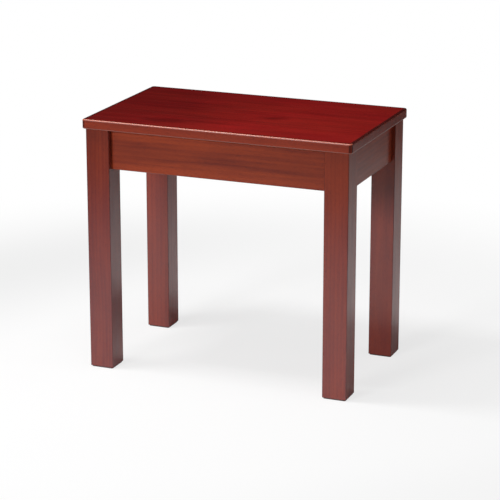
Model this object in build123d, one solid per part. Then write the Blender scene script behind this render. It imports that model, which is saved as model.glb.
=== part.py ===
from build123d import *
import os

# Fixed piano bench: a slab seat on four square legs, tied by four dowelled aprons.
# Millimetres. X runs along the bench, the player's side is -Y and Z is up.
# The origin is on the floor, under the middle of the seat.

# Seat
SEAT_WIDTH = 525.0
SEAT_DEPTH = 314.0
SEAT_HEIGHT = 480.0
SEAT_THICKNESS = 18.0
SEAT_CORNER_RADIUS = 6.5
SEAT_EDGE_RADIUS = 2.5
SIDE_OVERHANG = 6.5
FRONT_OVERHANG = 4.5

# Legs and the felt under them
LEG_SECTION = 46.0
LEG_EDGE_RADIUS = 1.0
PAD_INSET = 1.5
PAD_CORNER_RADIUS = 3.0
PAD_THICKNESS = 2.0

# Aprons
APRON_HEIGHT = 75.0
APRON_THICKNESS = 20.0
FRONT_APRON_SETBACK = 10.0
SIDE_APRON_SETBACK = 7.0
APRON_EDGE_RADIUS = 1.0

# Dowels, two in each apron end, staggered so that the two pairs in a leg pass each other
DOWEL_DIAMETER = 8.0
DOWEL_FLUTES = 16
DOWEL_IN_LEG = 20.0
DOWEL_IN_APRON = 20.0
DOWEL_END_CHAMFER = 1.0
DOWEL_SPACING = 28.0
DOWEL_STAGGER = 12.0
DOWEL_FIT = 0.1
DOWEL_HOLE_SPARE = 0.8

# Corner blocks: each fits round a leg's inner corner and bears on two aprons
BLOCK_HEIGHT = 40.0
BLOCK_END = 10.0
BLOCK_NOTCH_GAP = 0.3

# Screws
SCREW_DIAMETER = 4.0
SCREW_HEAD_DIAMETER = 8.0
SCREW_HEAD_HEIGHT = 2.6
SCREW_HEAD_RIM = 0.8
SCREW_POINT = 5.0
SCREW_SLOT_WIDTH = 1.0
SCREW_SLOT_LENGTH = 4.2
SCREW_SLOT_DEPTH = 1.4
SCREW_FIT = 0.1
COUNTERBORE_GAP = 1.0
BLOCK_SCREW_GRIP = 14.0
BLOCK_SCREW_FROM_DOWEL = 8.0
BLOCK_SCREW_FROM_END = 20.0
SEAT_SCREW_FROM_LEG = 12.0
SEAT_SCREW_RECESS = 5.0
WOOD_OVER_APRON_SCREW = 4.0
WOOD_OVER_SEAT_SCREW = 6.0

# Levels
seat_underside = SEAT_HEIGHT - SEAT_THICKNESS
leg_length = seat_underside - PAD_THICKNESS
apron_middle = seat_underside - APRON_HEIGHT / 2
block_bottom = seat_underside - BLOCK_HEIGHT
block_middle = seat_underside - BLOCK_HEIGHT / 2

# Plan: half distances from the middle of the bench
leg_outer_x = SEAT_WIDTH / 2 - SIDE_OVERHANG
leg_outer_y = SEAT_DEPTH / 2 - FRONT_OVERHANG
leg_inner_x = leg_outer_x - LEG_SECTION
leg_inner_y = leg_outer_y - LEG_SECTION
apron_inner_x = leg_outer_x - SIDE_APRON_SETBACK - APRON_THICKNESS
apron_inner_y = leg_outer_y - FRONT_APRON_SETBACK - APRON_THICKNESS
apron_line_x = apron_inner_x + APRON_THICKNESS / 2
apron_line_y = apron_inner_y + APRON_THICKNESS / 2

# A block reaches equally far along both aprons, with its screws past the dowel ends
leg_inside = max(apron_inner_x - leg_inner_x, apron_inner_y - leg_inner_y)
block_screw_reach = leg_inside + DOWEL_IN_APRON + BLOCK_SCREW_FROM_DOWEL
block_reach = block_screw_reach + BLOCK_SCREW_FROM_END

# Screw lengths, from under the head to the point
block_screw_length = BLOCK_SCREW_GRIP + APRON_THICKNESS - WOOD_OVER_APRON_SCREW
seat_screw_length = BLOCK_HEIGHT - SEAT_SCREW_RECESS + SEAT_THICKNESS - WOOD_OVER_SEAT_SCREW

# The four corners, as (name, sign of X, sign of Y)
CORNERS = [
    ("front_left", -1, -1),
    ("front_right", 1, -1),
    ("back_left", -1, 1),
    ("back_right", 1, 1),
]


def pair(middle, spacing):
    """Two levels, spaced about a middle level."""
    return [middle - spacing / 2, middle + spacing / 2]


def along(direction, point):
    """Location whose Z axis points along direction, at point."""
    return Plane(origin=point, z_dir=direction).location


def dowel_seats():
    """Meeting point of each dowel with the leg face, and its direction into the leg."""
    seats = []
    for _, sx, sy in CORNERS:
        for level in pair(apron_middle + DOWEL_STAGGER / 2, DOWEL_SPACING):
            seats.append(((sx * leg_inner_x, sy * apron_line_y, level), (sx, 0, 0)))
        for level in pair(apron_middle - DOWEL_STAGGER / 2, DOWEL_SPACING):
            seats.append(((sx * apron_line_x, sy * leg_inner_y, level), (0, sy, 0)))
    return seats


def block_screw_seats():
    """Point under each block screw's head, and its direction into the apron."""
    head_x = apron_inner_x - BLOCK_SCREW_GRIP
    head_y = apron_inner_y - BLOCK_SCREW_GRIP
    x = apron_inner_x - block_screw_reach
    y = apron_inner_y - block_screw_reach
    seats = []
    for _, sx, sy in CORNERS:
        seats.append(((sx * x, sy * head_y, block_middle), (0, sy, 0)))
        seats.append(((sx * head_x, sy * y, block_middle), (sx, 0, 0)))
    return seats


def seat_screw_seats():
    """Point under each seat screw's head, and its direction up into the seat."""
    x = leg_inner_x - SEAT_SCREW_FROM_LEG
    y = leg_inner_y - SEAT_SCREW_FROM_LEG
    level = block_bottom + SEAT_SCREW_RECESS
    return [((sx * x, sy * y, level), (0, 0, 1)) for _, sx, sy in CORNERS]


def dowel():
    """One fluted dowel, with its leg end along +Z and the leg face at Z = 0."""
    section = Pos(0, 0, -DOWEL_IN_APRON) * RegularPolygon(DOWEL_DIAMETER / 2, DOWEL_FLUTES)
    body = extrude(section, DOWEL_IN_APRON + DOWEL_IN_LEG)
    ends = body.faces().sort_by(Axis.Z)
    return chamfer(ends[0].edges() + ends[-1].edges(), DOWEL_END_CHAMFER)


def dowel_hole():
    """The drilled hole for a dowel, a little wider and a little longer than it."""
    length = DOWEL_IN_LEG + DOWEL_IN_APRON + 2 * DOWEL_HOLE_SPARE
    hole = Cylinder((DOWEL_DIAMETER + DOWEL_FIT) / 2, length)
    return Pos(0, 0, (DOWEL_IN_LEG - DOWEL_IN_APRON) / 2) * hole


def screw(length):
    """A pan-head wood screw driven along +Z, with its head seated at Z = 0."""
    crown = (0, 0, -SCREW_HEAD_HEIGHT)
    rim = (SCREW_HEAD_DIAMETER / 2, 0, -SCREW_HEAD_RIM)
    seat = (SCREW_HEAD_DIAMETER / 2, 0, 0)
    neck = (SCREW_DIAMETER / 2, 0, 0)
    shoulder = (SCREW_DIAMETER / 2, 0, length - SCREW_POINT)
    dome = TangentArc(crown, rim, tangent=(1, 0, 0))
    rest = Polyline(rim, seat, neck, shoulder, (0, 0, length), crown)
    body = revolve(make_face(dome.edges() + rest.edges()), Axis.Z)
    slot = Box(SCREW_SLOT_LENGTH, SCREW_SLOT_WIDTH, 2 * SCREW_SLOT_DEPTH)
    cross = slot + Rot(0, 0, 90) * slot
    return body - Pos(0, 0, -SCREW_HEAD_HEIGHT) * cross


def screw_hole(length):
    """The drilled hole for a screw's shank, from its head seat to its point."""
    radius = (SCREW_DIAMETER + SCREW_FIT) / 2
    return Cylinder(radius, length + SCREW_FIT, align=(Align.CENTER, Align.CENTER, Align.MIN))


def counterbore(depth):
    """The flat-bottomed hole that lets a head down to its seat at Z = 0."""
    radius = SCREW_HEAD_DIAMETER / 2 + COUNTERBORE_GAP
    return Cylinder(radius, depth, align=(Align.CENTER, Align.CENTER, Align.MAX))


def placed(seats, shape):
    """A copy of shape at each seat."""
    return [along(direction, point) * shape for point, direction in seats]


def bored(solid, holes):
    """The solid with those holes cut that reach it."""
    box = solid.bounding_box()
    for hole in holes:
        if box.overlaps(hole.bounding_box()):
            solid -= hole
    return solid


dowel_holes = placed(dowel_seats(), dowel_hole())
block_screw_holes = placed(block_screw_seats(), screw_hole(block_screw_length))
seat_screw_holes = placed(seat_screw_seats(), screw_hole(seat_screw_length))


def seat_top():
    """The slab, rounded over above and below, with blind screw holes underneath."""
    plan = RectangleRounded(SEAT_WIDTH, SEAT_DEPTH, SEAT_CORNER_RADIUS)
    slab = extrude(Pos(0, 0, seat_underside) * plan, SEAT_THICKNESS)
    rims = slab.faces().sort_by(Axis.Z)
    slab = fillet(rims[0].edges() + rims[-1].edges(), SEAT_EDGE_RADIUS)
    return bored(slab, seat_screw_holes)


def leg_place(sx, sy, level):
    """The middle of a leg's section, at a level."""
    return Pos(sx * (leg_outer_x - LEG_SECTION / 2), sy * (leg_outer_y - LEG_SECTION / 2), level)


def leg(sx, sy):
    """A square leg with softened edges, bored for the dowels of two aprons."""
    post = extrude(leg_place(sx, sy, PAD_THICKNESS) * Rectangle(LEG_SECTION, LEG_SECTION), leg_length)
    foot = post.faces().sort_by(Axis.Z)[0]
    post = fillet(foot.edges() + post.edges().filter_by(Axis.Z), LEG_EDGE_RADIUS)
    return bored(post, dowel_holes)


def apron(length, direction, line):
    """A rail on the given line, with its lower edges softened and its holes bored."""
    size = (length, APRON_THICKNESS) if direction == "x" else (APRON_THICKNESS, length)
    centre = (0, line) if direction == "x" else (line, 0)
    board = Pos(*centre, apron_middle) * Box(*size, APRON_HEIGHT)
    axis = Axis.X if direction == "x" else Axis.Y
    lower = board.edges().filter_by(axis).group_by(Axis.Z)[0]
    board = fillet(lower, APRON_EDGE_RADIUS)
    return bored(board, dowel_holes + block_screw_holes)


def corner_block(sx, sy):
    """A block notched round the leg, with a cheek on each apron and a long diagonal face."""
    notch_x = leg_inner_x - BLOCK_NOTCH_GAP
    notch_y = leg_inner_y - BLOCK_NOTCH_GAP
    end_x = apron_inner_x - block_reach
    end_y = apron_inner_y - block_reach
    corners = [
        (notch_x, apron_inner_y),
        (end_x, apron_inner_y),
        (end_x, apron_inner_y - BLOCK_END),
        (apron_inner_x - BLOCK_END, end_y),
        (apron_inner_x, end_y),
        (apron_inner_x, notch_y),
        (notch_x, notch_y),
    ]
    plan = make_face(Polyline(*[(sx * x, sy * y) for x, y in corners], close=True))
    block = extrude(Pos(0, 0, block_bottom) * plan, BLOCK_HEIGHT, dir=(0, 0, 1))
    block = bored(block, block_screw_holes + seat_screw_holes)
    block = bored(block, placed(block_screw_seats(), counterbore(BLOCK_SCREW_FROM_END + BLOCK_END)))
    return bored(block, placed(seat_screw_seats(), counterbore(SEAT_SCREW_RECESS)))


def foot_pad(sx, sy):
    """A felt square glued under a leg."""
    side = LEG_SECTION - 2 * PAD_INSET
    plan = RectangleRounded(side, side, PAD_CORNER_RADIUS)
    return extrude(leg_place(sx, sy, 0) * plan, PAD_THICKNESS)


nodes = {"seat_top": seat_top()}
for corner, sx, sy in CORNERS:
    nodes[corner + "_leg"] = leg(sx, sy)
    nodes[corner + "_corner_block"] = corner_block(sx, sy)
    nodes[corner + "_foot_pad"] = foot_pad(sx, sy)
nodes["front_apron"] = apron(2 * leg_inner_x, "x", -apron_line_y)
nodes["back_apron"] = apron(2 * leg_inner_x, "x", apron_line_y)
nodes["left_apron"] = apron(2 * leg_inner_y, "y", -apron_line_x)
nodes["right_apron"] = apron(2 * leg_inner_y, "y", apron_line_x)
nodes["apron_dowels"] = Compound(children=placed(dowel_seats(), dowel()))
nodes["corner_block_screws"] = Compound(children=placed(block_screw_seats(), screw(block_screw_length)))
nodes["seat_screws"] = Compound(children=placed(seat_screw_seats(), screw(seat_screw_length)))

os.makedirs("parts", exist_ok=True)
for name, solid in nodes.items():
    export_step(solid, f"parts/{name}.step")
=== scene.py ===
import math

import bmesh
import bpy
import numpy as np
from bpy.props import FloatProperty, FloatVectorProperty, IntProperty, PointerProperty
from mathutils import Matrix, Vector


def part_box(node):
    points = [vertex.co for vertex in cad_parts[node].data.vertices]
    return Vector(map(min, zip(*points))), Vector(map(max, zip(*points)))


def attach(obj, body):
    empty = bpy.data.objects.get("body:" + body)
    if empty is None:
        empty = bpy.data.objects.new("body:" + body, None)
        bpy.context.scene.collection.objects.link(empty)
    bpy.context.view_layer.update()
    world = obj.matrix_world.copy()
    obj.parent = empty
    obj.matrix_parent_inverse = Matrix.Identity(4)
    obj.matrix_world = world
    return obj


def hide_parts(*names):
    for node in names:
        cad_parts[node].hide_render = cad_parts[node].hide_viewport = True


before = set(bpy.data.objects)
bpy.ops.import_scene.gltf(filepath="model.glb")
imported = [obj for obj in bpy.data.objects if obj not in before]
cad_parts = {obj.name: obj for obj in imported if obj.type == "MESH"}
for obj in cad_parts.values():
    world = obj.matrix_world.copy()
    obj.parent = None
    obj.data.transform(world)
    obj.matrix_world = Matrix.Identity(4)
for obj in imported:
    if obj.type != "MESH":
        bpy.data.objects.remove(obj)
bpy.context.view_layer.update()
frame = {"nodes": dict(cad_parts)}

bl_info = {
    "name": "Piano Bench",
    "version": (1, 0, 0),
    "blender": (4, 5, 0),
    "location": "View3D > Sidebar > Piano Bench",
    "description": "Builds the visible pieces of a lacquered piano bench on its CAD frame",
    "category": "Add Mesh",
}

BODY = "root"
CORNERS = ("front_left", "front_right", "back_left", "back_right")
APRONS = (("front", "X"), ("back", "X"), ("left", "Y"), ("right", "Y"))
SCREW_NODES = ("corner_block_screws", "seat_screws")
DOWEL_NODE = "apron_dowels"
LACQUER = "lacquered_mahogany"
BARE_WOOD = "bare_hardwood"
ZINC = "zinc_plated_steel"
FELT = "dark_felt"

# Meshes: lengths in metres, shares, and numbers of sides and steps
MERGE = 1e-6
SHARP_ANGLE = math.radians(35)
FLAT_WEIGHT = 80
FACE_MARGIN = 0.0015
END_ZONE = 0.003
SAME_RADIUS = 1e-5
BORE_SIDES = 48
HEAD_ROOM = 0.03
SCREW_SIDES = 24
DOME_STEPS = 6
DOME_START = 0.2
HEAD_CHAMFER = 0.0001
THREAD_STEPS = 6
THREAD_STEEPNESS = 4.0
TIP_RADIUS = 0.00005
FLUTE_DEPTH = 0.0003
FLUTE_SIDES = 6
FLOOR_SIDES = 96
DRAPE_SIDES = 64
PAD_EDGE_STEPS = 3
PAD_CORNER_STEPS = 5

# How high the cutter of a screw's cross starts, and its taper as shares of reach and width at top and foot
RECESS_START = -0.001
RECESS_TOP = (1.2, 1.1)
RECESS_FOOT = (0.55, 0.8)

# A loose fibre as (share of its length, bend), its lean at most, its sizes, how upright a cut
# side is, its taper and its sides
FIBRE_BENDS = ((0.0, 0.0), (0.5, 0.12), (0.95, 0.42))
FIBRE_LEAN = (0.9, 0.9, 3.1)
FIBRE_SIZES = (0.35, 1.0)
FIBRE_STEEPNESS = 0.5
FIBRE_TAPER = 1.05
FIBRE_SIDES = 3

# The seat's dark rim: where on the bend it starts, how far it goes past the bend, and how it fades
RIM_START = 0.15
RIM_BAND = 0.0025
RIM_FADE = 0.0015

# The seat's edges with rougher lacquer and a lighter colour, which paints a highlight on the upper front
# edge and the floor's reflection on the lower edge: how strongly the lower one is lightened, and which way
# the faces of each look
UNDER_GLINT = 0.5
FRONT_FACING = -0.02
UNDER_FACING = (-0.98, -0.2)

# The red stain of the seat's face: how deep it goes, how it fades, and what is left of it on the sides
CROWN_DEPTH = 0.0002
CROWN_FADE = 0.0005
EDGE_RED = 0.2

# Where in the log each wood comes from, as the first piece's spot and the step to the next piece
SEAT_LOG = (0.3, 0.02, -0.42)
LEG_LOG = ((0.0, 0.11, 0.04), (0.7, 0.05, 0.09))
APRON_LOG = ((0.9, 0.2, -0.36), (0.8, 0.07, 0.05))
BLOCK_LOG = ((0.0, 0.3, 0.2), (0.5, 0.1, 0.0))
DOWEL_LOG = (0.0, 0.4, 0.1)
GRAIN_TURN = {"X": (0.0, 0.0, 0.0), "Y": (0.0, 0.0, -math.pi / 2), "Z": (0.0, math.pi / 2, 0.0)}

# How strongly the figure shows, how light the stain is, and how far the edges are worn, at least and at
# most. The legs' tones differ from leg to leg as painted shade, and the seat's highlighted edges are worn
# almost through as a painted highlight
SEAT_CONTRAST = 0.5
LEG_CONTRAST = 0.5
APRON_CONTRAST = 0.8
SEAT_TONE = 0.5
APRON_TONE = 0.56
# Each leg's tone is set apart to even out how brightly it shows in the light: painted shade, darkest on the
# front left leg
LEG_SHADE_TONE = {"front_left": 0.17, "front_right": 0.38, "back_left": 0.42, "back_right": 0.5}
FRAME_WEAR = (0.0, 0.35)
SEAT_WEAR = (0.0, 0.1)
# The wear range of the seat's highlighted edges is near full, so their lighter colour is a painted highlight
PAINTED_EDGE_HIGHLIGHT = (0.85, 1.0)

# The heights between which the painted reflection of the pale floor in the legs' lacquer fades out, in
# metres
FLOOR_REFLECTION_HEIGHTS = (0.27, 0.42)

# Where the stain lies uneven, and on the seat where light and shade are painted, as (middle in metres, reach
# in metres, how much lighter)
SEAT_STAIN_AND_SHADE = (
    # The first two paint shade over the seat's left end and light over its right end; the rest are uneven
    # stain
    ((-0.32, -0.01, 0.48), (0.42, 0.42, 0.008), -0.60),
    ((0.20, -0.08, 0.48), (0.34, 0.30, 0.008), 0.26),
    ((-0.190, 0.095, 0.48), (0.12, 0.06, 0.008), -0.08),
    ((-0.120, -0.112, 0.48), (0.06, 0.022, 0.008), -0.40),
    ((-0.055, -0.080, 0.48), (0.11, 0.040, 0.008), -0.20),
    ((-0.080, 0.005, 0.48), (0.10, 0.05, 0.008), -0.14),
    ((0.050, -0.021, 0.48), (0.040, 0.018, 0.008), -0.55),
    ((0.015, -0.110, 0.48), (0.08, 0.035, 0.008), 0.25),
    ((0.120, 0.040, 0.48), (0.14, 0.030, 0.008), -0.14))
APRON_FIGURE = (
    ((-0.150, -0.1425, 0.454), (0.22, 0.1, 0.016), 0.50),
    ((0.010, -0.1425, 0.445), (0.10, 0.1, 0.008), 0.25),
    ((-0.060, -0.1425, 0.391), (0.28, 0.1, 0.030), 0.55),
    ((-0.170, -0.1425, 0.424), (0.08, 0.1, 0.014), -0.12),
    ((0.020, -0.1425, 0.421), (0.16, 0.1, 0.009), -0.08),
    ((0.140, -0.1425, 0.412), (0.16, 0.1, 0.010), -0.16),
    ((0.190, -0.1425, 0.434), (0.20, 0.1, 0.020), -0.10))

# Noises as (scale in repeats to the metre, detail), some with a roughness and a distortion
SWAY = ((2.2, 9.0, 9.0), 2.0)
RIBBON = ((3.0, 55.0, 55.0), 2.0)
STREAK = ((7.0, 260.0, 260.0), 4.0, 0.6)
GRAIN_FIBRE = ((30.0, 2400.0, 2400.0), 2.0)
BLOTCH = ((9.0, 16.0, 16.0), 2.0)
PORES = ((130.0, 3000.0, 3000.0), 0.0)
PATCH_DRIFT = ((9.0, 14.0, 30.0), 2.0)
CLOUD = ((7.0, 12.0, 12.0), 2.0)
WEAR_AND_GLINT_SPOTS = ((60.0, 60.0, 60.0), 3.0)
WIPE = ((14.0, 70.0, 70.0), 3.0)
PEEL = ((420.0, 420.0, 420.0), 1.0)
FLECK = ((160.0, 900.0, 160.0), 1.0)
SAW = ((900.0, 12.0, 12.0), 2.0)
BLOOM = ((900.0, 900.0, 900.0), 3.0)
SCUFF = ((6000.0, 1500.0, 6000.0), 2.0)
WOOL = ((1600.0, 1600.0, 1600.0), 4.0, 0.7, 1.5)
TUFT = ((350.0, 350.0, 350.0), 2.0)

# What is made of the noises and rings: a range of theirs and, where it isn't 0 to 1, what it becomes
PORE_RANGE = (0.62, 0.72)
RING_DARKENS = (0.1, 0.85)
RING_ENDS = (0.9, 1.0, 1.0, 0.0)
CLOUD_RANGE = (0.35, 0.7, 1.0, 0.9)
WEAR_AND_GLINT_RANGE = (0.58, 0.75)
WIPE_ROUGHNESS = (0.25, 0.75, 0.42, 0.55)
FLECK_RANGE = (0.6, 0.72, 0.0, 0.3)
SAW_ROUGHNESS = (0.3, 0.7, 0.62, 0.8)
BLOOM_RANGE = (0.3, 0.7)
BLOOM_ROUGHNESS = (0.25, 0.75, 0.22, 0.45)
WOOL_RANGE = (0.3, 0.7)
WOOL_ROUGHNESS = (0.3, 0.7, 0.85, 1.0)
LINT_RANGE = (0.55, 0.75, 0.0, 0.4)

# Bumps as (height in metres, strength)
PEEL_BUMP = (0.00001, 0.35)
FIBRE_BUMP = (0.00004, 0.6)
SAW_BUMP = (0.00008, 0.5)
BARE_BUMP = (0.00008, 0.8)
SCUFF_BUMP = (0.00001, 0.5)
WOOL_BUMP = (0.0002, 0.8)

# How light each of these is beside the bare wood, zinc or felt round it
FLECK_SHADE = 0.6
PORE_SHADE = 0.45
BLOOM_SHADE = 0.8
WOOL_SHADE = 0.6
LINT_SHADE = 1.7

# The wood's figure: how strongly each part shows in its tone and its relief, and the middles of the parts
RIBBON_WEIGHT = 1.3
STREAK_WEIGHT = 1.1
BLOTCH_WEIGHT = 0.7
FIBRE_WEIGHT = 0.35
RING_WEIGHT = -0.3
FIBRE_RELIEF = 0.25
PORE_RELIEF = -1.0
NOISE_MIDDLE = 0.5
RING_MIDDLE = 0.35

# Wood and lacquer: the width of a growth ring, how far the grain and the patches of uneven stain and painted
# light sway, in metres, how strongly stain gathers in pores, how dark the edges are made by gathered stain
# that also paints the dark reflection on the seat's rounded corners, and the index of refraction
RING_WIDTH = 0.0075
GRAIN_SWAY = (0.0, 0.022, 0.022)
PATCH_SWAY = (0.07, 0.05, 0.008)
PORE_STAIN = 0.4
EDGE_STAIN_AND_DARK_GLINT = 0.9
COAT_IOR = 1.56

# The paper's painted pool of light, pale in a turned ellipse and dark past it: its middle, turn and
# narrowing, where it fades, and where the view turns plain white
POOL_MIDDLE = (0.22, 0.24, 0.0)
POOL_TURN = math.radians(60)
POOL_NARROWING = (1.0, 2.0, 1.0)
POOL_FADE = (1.0, 2.1)
WHITE_FADE = (0.5, 1.3)

# Plain colours, and the width of the camera's sensor in millimetres
PLAIN_WHITE = (1.0, 1.0, 1.0, 1.0)
CLOTH_BLACK = (0.01, 0.01, 0.01, 1.0)
SENSOR_WIDTH = 36.0

# Lamps as (name, place, aim, width, height, the setting with its power)
BENCH_MIDDLE = (0.0, 0.0, 0.3)
LAMPS = (
    ("key_softbox", (-1.04, -3.19, 1.5), BENCH_MIDDLE, 1.0, 0.8, "key_power"),
    ("back_softbox", (2.2, 2.4, 1.4), BENCH_MIDDLE, 1.4, 1.1, "back_power"),
    ("side_softbox", (3.0, 0.5, 1.4), BENCH_MIDDLE, 1.4, 1.1, "side_power"),
    ("top_softbox", (0.0, -0.3, 1.9), BENCH_MIDDLE, 0.55, 0.6, "top_power"),
    ("strip_lamp", (-0.66, -0.34, 1.9), (-0.1, -0.34, 0.48), 0.34, 0.52, "strip_power"))


# Settings


def metres(name, description, default, low, high):
    """A length."""
    return FloatProperty(
        name=name, description=description, default=default, min=low, max=high, unit="LENGTH")


def fraction(name, description, default, high=1.0):
    """A share of something."""
    return FloatProperty(
        name=name, description=description, default=default, min=0.0, max=high, subtype="FACTOR")


def count(name, description, default, low, high):
    """A whole number."""
    return IntProperty(name=name, description=description, default=default, min=low, max=high)


def tint(name, description, default):
    """A colour."""
    return FloatVectorProperty(
        name=name, description=description, default=default, min=0.0, max=1.0, subtype="COLOR")


def watts(name, description, default):
    """The power of a lamp."""
    return FloatProperty(name=name, description=description, default=default, min=0.0, unit="POWER")


class SeatSettings(bpy.types.PropertyGroup):
    """Rounding of the seat slab."""

    corner_radius: metres("Corner radius", "Rounding of the slab's corners in plan", 0.0065, 0.004, 0.05)
    edge_radius: metres("Edge radius", "Rounding of the slab's long edges", 0.0025, 0.0005, 0.004)
    steps: count("Steps", "Faces round each quarter turn", 8, 2, 24)


class FrameSettings(bpy.types.PropertyGroup):
    """Rounding of the legs and aprons, and the make of the corner blocks and dowels."""

    leg_radius: metres("Leg edge", "Rounding of a leg's long edges and its foot", 0.001, 0.0005, 0.004)
    apron_radius: metres("Apron edge", "Rounding of an apron's two lower edges", 0.001, 0.0002, 0.004)
    steps: count("Steps", "Faces round each quarter turn", 6, 2, 24)
    block_end: metres("Block end", "Width of the square end of a corner block", 0.010, 0.004, 0.02)
    block_notch_gap: metres("Notch gap", "Room between a block's notch and the leg", 0.0003, 0.0, 0.002)
    block_bevel: metres("Block bevel", "Broken edge round a block's lower face", 0.0006, 0.0001, 0.003)
    dowel_flutes: count("Dowel flutes", "Glue flutes round a dowel", 16, 6, 32)
    dowel_bevel: metres("Dowel bevel", "Chamfer at each end of a dowel", 0.001, 0.0, 0.003)
    bore_fit: metres("Bore fit", "How much wider a bore is than what it takes", 0.0001, 0.0, 0.001)
    bore_spare: metres("Bore spare", "Room past a dowel or screw in its bore", 0.0008, 0.0, 0.003)


class ScrewSettings(bpy.types.PropertyGroup):
    """Make of the wood screws."""

    head_height: metres("Head height", "Height of the pan head above its seat", 0.0026, 0.001, 0.005)
    head_rim: metres("Head rim", "Height of the head's upright rim", 0.0008, 0.0002, 0.002)
    shank_radius: metres("Shank radius", "Radius over the thread", 0.002, 0.001, 0.004)
    root_radius: metres("Root radius", "Radius between the turns of the thread", 0.0014, 0.0005, 0.003)
    pitch: metres("Pitch", "Rise of the thread in one turn", 0.0018, 0.0008, 0.004)
    plain_share: fraction("Plain shank", "Share of the shank that has no thread", 0.3, 0.8)
    point: metres("Point", "Length of the tapered point", 0.005, 0.001, 0.01)
    recess_radius: metres("Recess reach", "Reach of the cross from its middle", 0.0021, 0.0005, 0.004)
    recess_width: metres("Recess width", "Width of each slot of the cross", 0.001, 0.0003, 0.002)
    recess_depth: metres("Recess depth", "Depth of the cross recess", 0.0014, 0.0003, 0.002)
    counterbore_gap: metres("Counterbore gap", "Room round a head in its bore", 0.001, 0.0003, 0.003)
    spin_seed: count("Spin seed", "Picks how far each screw was turned", 7, 0, 10000)


class FeltSettings(bpy.types.PropertyGroup):
    """Make of the felt pads under the legs."""

    corner_radius: metres("Corner radius", "Rounding of a pad's corners in plan", 0.003, 0.001, 0.01)
    edge_radius: metres("Edge radius", "Softening of a pad's lower edge", 0.0006, 0.0001, 0.001)
    fibre_length: metres("Fibre length", "Reach of a pad's loose fibres", 0.0009, 0.0001, 0.002)
    fibre_radius: metres("Fibre radius", "Thickness of a fibre at its root", 0.00004, 0.00001, 0.0002)
    fibre_density: FloatProperty(
        name="Fibre density", description="Loose fibres on each square metre of a cut side",
        default=2600000.0, min=0.0)
    seed: count("Fibre seed", "Picks where the loose fibres stand", 11, 0, 10000)


class FinishSettings(bpy.types.PropertyGroup):
    """Colours and gloss of the finishes."""

    seat_light: tint("Seat light", "Lighter figure under the seat's red stain", (0.345, 0.0108, 0.0102))
    seat_dark: tint("Seat dark", "Darker figure under the seat's red stain", (0.130, 0.0038, 0.0040))
    frame_light: tint("Frame light", "Lighter figure of the legs and aprons", (0.370, 0.049, 0.0110))
    frame_dark: tint("Frame dark", "Darker figure of the legs and aprons", (0.177, 0.0180, 0.0076))
    # Dark stain in pores and on edges; on the seat's rounded corners it also paints their dark reflection
    pore: tint("Pore", "Stain gathered in the pores and on the edges", (0.048, 0.007, 0.006))
    # A painted reflection of the pale floor, mixed into the legs' colour near the floor, and how much of it
    # shows
    floor_reflection: tint("Haze", "Faint bloom in the legs' lacquer towards the floor", (0.08, 0.07, 0.145))
    floor_reflection_share: fraction("Haze share", "How much of the bloom shows near the floor", 0.10)
    # Wood where stain is worn off an edge, and also the lighter colour that paints the highlight on the
    # seat's edges
    worn_and_highlight_tint: tint("Worn", "Wood that shows where stain is rubbed off an edge", (0.50, 0.12, 0.065))
    coat_roughness: fraction("Coat roughness", "Blur of the reflections in the lacquer", 0.2)
    rubbed_roughness: fraction("Rubbed roughness", "Blur of the lacquer on rubbed edges", 0.37)
    bare_light: tint("Bare wood light", "Lighter figure of the unfinished wood", (0.60, 0.40, 0.235))
    bare_dark: tint("Bare wood dark", "Darker figure of the unfinished wood", (0.40, 0.235, 0.12))
    zinc: tint("Zinc", "Bright zinc plating of the screws", (0.72, 0.70, 0.62))
    felt: tint("Felt", "Pressed felt of the foot pads", (0.10, 0.06, 0.05))


class StageSettings(bpy.types.PropertyGroup):
    """Camera, lamps and floor."""

    camera_place: FloatVectorProperty(
        name="Camera place", description="Where the camera stands",
        default=(1.44133, -3.53598, 1.35069), subtype="TRANSLATION", unit="LENGTH")
    azimuth: FloatProperty(
        name="Azimuth", description="Turn of the camera to the right of the bench's front",
        default=math.radians(22.0746), subtype="ANGLE")
    elevation: FloatProperty(
        name="Elevation", description="Tilt of the camera below the horizon",
        default=math.radians(16.5481), subtype="ANGLE")
    lens: FloatProperty(
        name="Lens", description="Focal length on a 36 mm sensor, in millimetres",
        default=151.927, min=10.0)
    key_power: watts("Key power", "Softbox to the front left", 55.0)
    back_power: watts("Back power", "Softbox behind the right end", 4.5)
    side_power: watts("Side power", "Softbox past the right end", 9.4)
    top_power: watts("Top power", "Softbox over the seat", 7.4)
    strip_power: watts("Strip power", "Narrow lamp over the left end", 22.5)
    fill: fraction("Fill", "Strength of the even light from all round", 0.08)
    # The paper's pale and far colours paint a pool of light on the floor
    floor: tint("Floor", "Pale paper under the bench", (0.90, 0.90, 0.90))
    floor_far: tint("Far floor", "Floor past the paper, as the lacquer mirrors it", (0.12, 0.12, 0.12))
    floor_white: fraction("Floor white", "How far the paper is lifted to white in view", 0.75)
    gloss_white: fraction("Gloss white", "How far the paper is lifted to white in the gloss", 0.02)
    floor_radius: metres("Floor radius", "Reach of the floor", 30.0, 5.0, 100.0)
    drape_radius: metres("Drape radius", "Reach of the dark drape round the set", 3.8, 2.0, 10.0)
    drape_height: metres("Drape height", "Height of the dark drape round the set", 3.2, 2.0, 10.0)


class BenchSettings(bpy.types.PropertyGroup):
    """All that a user would change."""

    seat: PointerProperty(type=SeatSettings, name="Seat", description="The seat slab")
    frame: PointerProperty(type=FrameSettings, name="Frame", description="What holds the seat")
    screws: PointerProperty(type=ScrewSettings, name="Screws", description="The wood screws")
    felt: PointerProperty(type=FeltSettings, name="Felt", description="The foot pads")
    finish: PointerProperty(type=FinishSettings, name="Finish", description="Colours and gloss")
    stage: PointerProperty(type=StageSettings, name="Stage", description="Camera, lamps and floor")


def settings(context):
    """The bench's own settings."""
    return context.scene.piano_bench


# Meshes


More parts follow.
